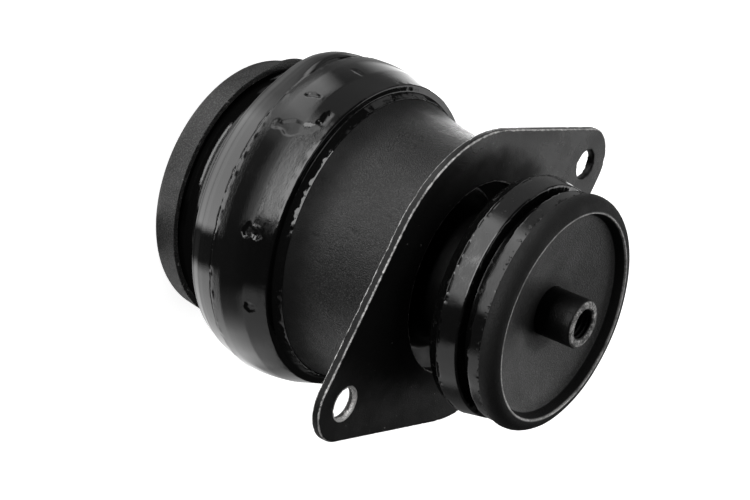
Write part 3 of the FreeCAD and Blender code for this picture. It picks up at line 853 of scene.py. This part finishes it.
def plate_painted_shade(finish):
    """Painted shade on the plate: darker round the front rubber, where its shadow falls, and towards
    its +X ear, away from the light.
    """
    wave = finish.math("MULTIPLY_ADD", finish.noise(7, 3, 0.6, shift=14.0), 8.0, -4.0)
    near = finish.level(finish.math("ADD", finish.radius(), wave), 43.0, 33.0)
    return finish.math("MAXIMUM", near, finish.level(finish.across(), -6.0, 26.0, 0.0, 0.8))


def core_bare(finish):
    """The boss's ring face is worn bright in places."""
    chips = finish.noise(1.3, 4, 0.65, shift=3.0)
    top = finish.level(finish.height(), CORE_FRONT - 0.55, CORE_FRONT - 0.2)
    return finish.math("MULTIPLY", top, finish.level(chips, 0.4, 0.6, 0.12, 0.6))


def bell_painted_shade(finish):
    """Painted shadow of the lip: the bell is darker and rougher close to the rubber's edge."""
    wave = finish.math("MULTIPLY_ADD", finish.noise(6, 3, 0.6, shift=13.0), 4.0, -2.0)
    return finish.level(finish.math("ADD", finish.height(), wave), FILM_EDGE + 12.0, FILM_EDGE + 1.5)


def cap_painted_shade(finish):
    """Painted shade on the cap: its skirt, its inner wall and its face round the boss are darker."""
    radius = finish.radius()
    skirt = finish.level(radius, CAP_RIM_INNER + 0.4, CAP_RIM_INNER + 0.9)
    wall = finish.math("MULTIPLY",
                       finish.level(radius, CAP_FLOOR_RADIUS - 0.3, CAP_FLOOR_RADIUS + 0.1),
                       finish.level(radius, CAP_RIM_INNER + 0.2, CAP_RIM_INNER - 0.1))
    boss = finish.math("MULTIPLY", finish.level(radius, CORE_RADIUS + 3.0, SPIGOT_RADIUS - 0.2), 0.9)
    return finish.math("MAXIMUM", skirt, wall, boss)


def cap_painted_highlight(finish):
    """Painted highlight: bright steel in a line along the inner edge of the cap's rim."""
    radius = finish.radius()
    chips = finish.level(finish.noise(2.5, 3, 0.6, shift=3.0), 0.3, 0.6, 0.25, 0.7)
    line = finish.math("MULTIPLY", finish.level(radius, CAP_RIM_INNER - 0.2, CAP_RIM_INNER),
                       finish.level(radius, CAP_RIM_INNER + 0.6, CAP_RIM_INNER + 0.3))
    return finish.math("MULTIPLY", line, chips)


def cup_bare(finish):
    """Slight wear on the rear cup's edge."""
    off_edge = finish.math("ABSOLUTE", finish.math("SUBTRACT", finish.height(), CUP_EDGE))
    chips = finish.level(finish.noise(1.4, 4, 0.65, shift=3.0), 0.6, 0.7)
    return finish.math("MULTIPLY", finish.level(off_edge, 0.5, 0.0), chips, 0.5)


# ---- Put the pieces together ----
PIECES = (
    ("rear_cup", "cup_paint", make_rear_cup,
     paint("cup_paint_look", tone=0.014, grain=1.6, rough=0.6, bare=cup_bare)),
    ("main_rubber", "main_rubber", make_main_rubber,
     rubber("main_rubber_look", tone=0.002, gloss=0.06, shine=0.22, inner=31.0)),
    ("bell", "bell_paint", make_bell,
     paint("bell_paint_look", tone=0.006, grain=1.6, rough=0.29, dusty=0.8, painted_shade=bell_painted_shade)),
    ("flange_plate", "plate_paint", make_flange_plate,
     paint("plate_paint_look", tone=0.0025, grain=0.8, rough=0.3, bare=plate_bare, painted_shade=plate_painted_shade)),
    ("inner_core", "core_steel", make_inner_core,
     paint("core_steel_look", tone=0.002, grain=0.9, rough=0.45, dusty=0.2, bare=core_bare)),
    ("front_rubber", "front_rubber", make_front_rubber,
     rubber("front_rubber_look", tone=0.002, gloss=0.1, shine=0.27, inner=31.5, streaks=(1, 1, 2),
            scuffs=2.0)),
    ("front_cap", "cap_paint", make_front_cap,
     paint("cap_paint_look", tone=0.03, grain=1.3, rough=0.38, dusty=0.3, bare=cap_painted_highlight, painted_shade=cap_painted_shade,
           spread=0.3)),
)
for node_name, slot_name, make, look in PIECES:
    piece = make()
    piece.data.materials.append(look)
    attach(piece, "root")
    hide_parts(node_name)


# ---- Floor, light and camera ----
# What the floor glows with in reflections only, as hidden light for the object's highlights: for a ring
# of it, from one radius to another in millimetres, how bright it is at each azimuth. Azimuths go from
# -Y towards +X, in degrees, and 1 is white.
FLOOR_RINGS = (
    (40, 62, ((0, 1.5), (8, 3.0), (66, 3.4), (70, 0.1), (86, 0.1), (92, 2.0), (120, 1.3), (165, 0.8),
              (178, 0.3), (320, 0.3), (350, 0.8))),
    (62, 92, ((0, 3.0), (8, 6.0), (66, 7.5), (70, 0.1), (86, 0.1), (92, 3.5), (120, 2.2), (165, 1.2),
              (178, 0.3), (320, 0.3), (350, 1.5))),
    (92, 165, ((0, 3.0), (6, 1.6), (16, 0.4), (70, 0.1), (95, 0.1), (112, 0.6), (128, 2.2), (145, 2.0),
               (160, 0.5), (215, 0.5), (234, 2.6), (247, 5.5), (256, 4.0), (270, 2.4), (300, 0.3),
               (318, 0.3), (330, 4.0), (350, 5.0))),
    (165, 225, ((0, 3.5), (20, 1.8), (60, 1.6), (66, 0.05), (98, 0.05), (104, 1.2), (140, 1.5),
                (160, 0.2), (225, 0.1), (240, 1.6), (256, 0.2), (335, 0.5), (350, 5.0))),
    (225, 1200, ((0, 5.0), (20, 5.0), (58, 4.0), (66, 0.05), (98, 0.05), (104, 1.5), (140, 1.1),
                 (150, 0.1), (225, 0.1), (240, 1.6), (256, 0.2), (340, 0.8), (350, 6.0))),
)
RING_BLUR = 4.0
RING_LIMIT = 10.0
FLOOR_FAR = 0.06
FLOOR_GLOW = 0.84
FLOOR_TONE = 0.8
FLOOR_HALF = 6.0
WORLD_LIGHT = 0.06


def ring_light(finish, turn, stops):
    """Brightness round one ring of the floor. turn is the azimuth as a share of a full turn."""
    made = finish.node("ShaderNodeValToRGB", turn)
    points = made.color_ramp.elements
    stops = [(azimuth / 360.0, value) for azimuth, value in stops] + [(1.0, stops[0][1])]
    while len(points) < len(stops):
        points.new(0.5)
    for point, (place, value) in zip(points, stops):
        point.position = place
        point.color = grey(value / RING_LIMIT)
    return finish.math("MULTIPLY", made.outputs["Color"], RING_LIMIT)


def make_floor():
    """White to the camera, with the object's shadow on it, and glowing with a pattern of light that
    only reflections see.
    """
    mesh = bpy.data.meshes.new("floor")
    corners = [(x * FLOOR_HALF, y * FLOOR_HALF, 0) for x, y in ((-1, -1), (1, -1), (1, 1), (-1, 1))]
    mesh.from_pydata(corners, [], [(0, 1, 2, 3)])
    floor = bpy.data.objects.new("floor", mesh)
    bpy.context.scene.collection.objects.link(floor)
    finish = Finish("floor_white")
    tree = finish.tree
    tree.nodes.remove(finish.shader)
    radius = finish.radius()
    x, y, _ = finish.apart()
    azimuth = finish.math("ARCTAN2", x, finish.math("MULTIPLY", y, -1.0))
    turn = finish.math("FRACT", finish.math("ADD", finish.math("DIVIDE", azimuth, 2 * math.pi), 1.0))
    seen = FLOOR_FAR
    for near, far, stops in FLOOR_RINGS:
        inner = finish.level(radius, near - RING_BLUR, near + RING_BLUR)
        outer = finish.level(radius, far + RING_BLUR, far - RING_BLUR)
        shown = finish.math("MULTIPLY", ring_light(finish, turn, stops), inner, outer)
        seen = finish.math("ADD", seen, shown)
    rays = finish.node("ShaderNodeLightPath").outputs
    mirrored = finish.math("MAXIMUM", rays["Is Glossy Ray"], rays["Is Transmission Ray"])
    lit = finish.node("ShaderNodeBsdfDiffuse", grey(FLOOR_TONE))
    glow = finish.node("ShaderNodeEmission")
    finish.feed(glow.inputs["Strength"], finish.math("MULTIPLY", rays["Is Camera Ray"], FLOOR_GLOW))
    plain = finish.node("ShaderNodeAddShader", lit.outputs[0], glow.outputs[0])
    pattern = finish.node("ShaderNodeEmission")
    finish.feed(pattern.inputs["Strength"], seen)
    chosen = finish.node("ShaderNodeMixShader", mirrored, plain.outputs[0], pattern.outputs[0])
    tree.links.new(chosen.outputs[0], tree.nodes["Material Output"].inputs["Surface"])
    finish.material.cycles.emission_sampling = "NONE"
    mesh.materials.append(finish.material)


def make_world():
    """White to the camera, dim to everything else."""
    world = bpy.data.worlds.new("studio")
    bpy.context.scene.world = world
    world.use_nodes = True
    tree = world.node_tree
    back = tree.nodes["Background"]
    back.inputs["Color"].default_value = (1, 1, 1, 1)
    rays = tree.nodes.new("ShaderNodeLightPath")
    strength = tree.nodes.new("ShaderNodeMapRange")
    strength.inputs["To Min"].default_value = WORLD_LIGHT
    tree.links.new(rays.outputs["Is Camera Ray"], strength.inputs["Value"])
    tree.links.new(strength.outputs[0], back.inputs["Strength"])


LIT_PLACE = Vector((0, 0, 0.06))


def lamp(name, azimuth, height_angle, distance, width, height, radiance):
    """A soft rectangular lamp that faces the object. azimuth goes from -Y towards +X, and height_angle
    is how high the lamp stands, both in degrees. radiance is how bright its face looks."""
    data = bpy.data.lights.new(name, "AREA")
    data.shape = "RECTANGLE"
    data.size, data.size_y = width, height
    data.energy = radiance * math.pi * width * height
    holder = bpy.data.objects.new(name, data)
    turn, tilt = math.radians(azimuth), math.radians(height_angle)
    way = Vector((math.sin(turn) * math.cos(tilt), -math.cos(turn) * math.cos(tilt), math.sin(tilt)))
    holder.location = LIT_PLACE + way * distance
    holder.rotation_mode = "QUATERNION"
    holder.rotation_quaternion = (-way).to_track_quat("-Z", "Y")
    holder.visible_camera = False
    bpy.context.scene.collection.objects.link(holder)


make_floor()
make_world()
lamp("overhead", azimuth=322, height_angle=66, distance=1.0, width=0.5, height=0.5, radiance=2.8)
lamp("cap_light", azimuth=246, height_angle=35, distance=0.8, width=0.78, height=0.5, radiance=2.2)
lamp("low_bar", azimuth=25, height_angle=5, distance=0.5, width=0.56, height=0.12, radiance=13.0)
lamp("side", azimuth=300, height_angle=10, distance=0.8, width=0.3, height=0.3, radiance=0.9)
lamp("side_high", azimuth=270, height_angle=60, distance=0.8, width=0.5, height=0.4, radiance=0.35)

# The camera stands where the photo's camera stood, and is rolled as it was.
CAMERA_PLACE = (0.35648, -0.42217, 0.39973)
CAMERA_RIGHT = (-0.60980, 0.12752, 0.78223)
CAMERA_UP = (-0.57688, -0.74820, -0.32774)
CAMERA_BACK = (0.54347, -0.65111, 0.52981)
camera_data = bpy.data.cameras.new("camera")
camera_data.lens = 106.3
camera_data.sensor_width = 36.0
camera_data.clip_end = 20.0
camera = bpy.data.objects.new("camera", camera_data)
bpy.context.scene.collection.objects.link(camera)
camera_turn = Matrix((CAMERA_RIGHT, CAMERA_UP, CAMERA_BACK)).transposed().to_4x4()
camera.matrix_world = Matrix.Translation(CAMERA_PLACE) @ camera_turn
bpy.context.scene.camera = camera
bpy.context.scene.view_settings.view_transform = "Standard"
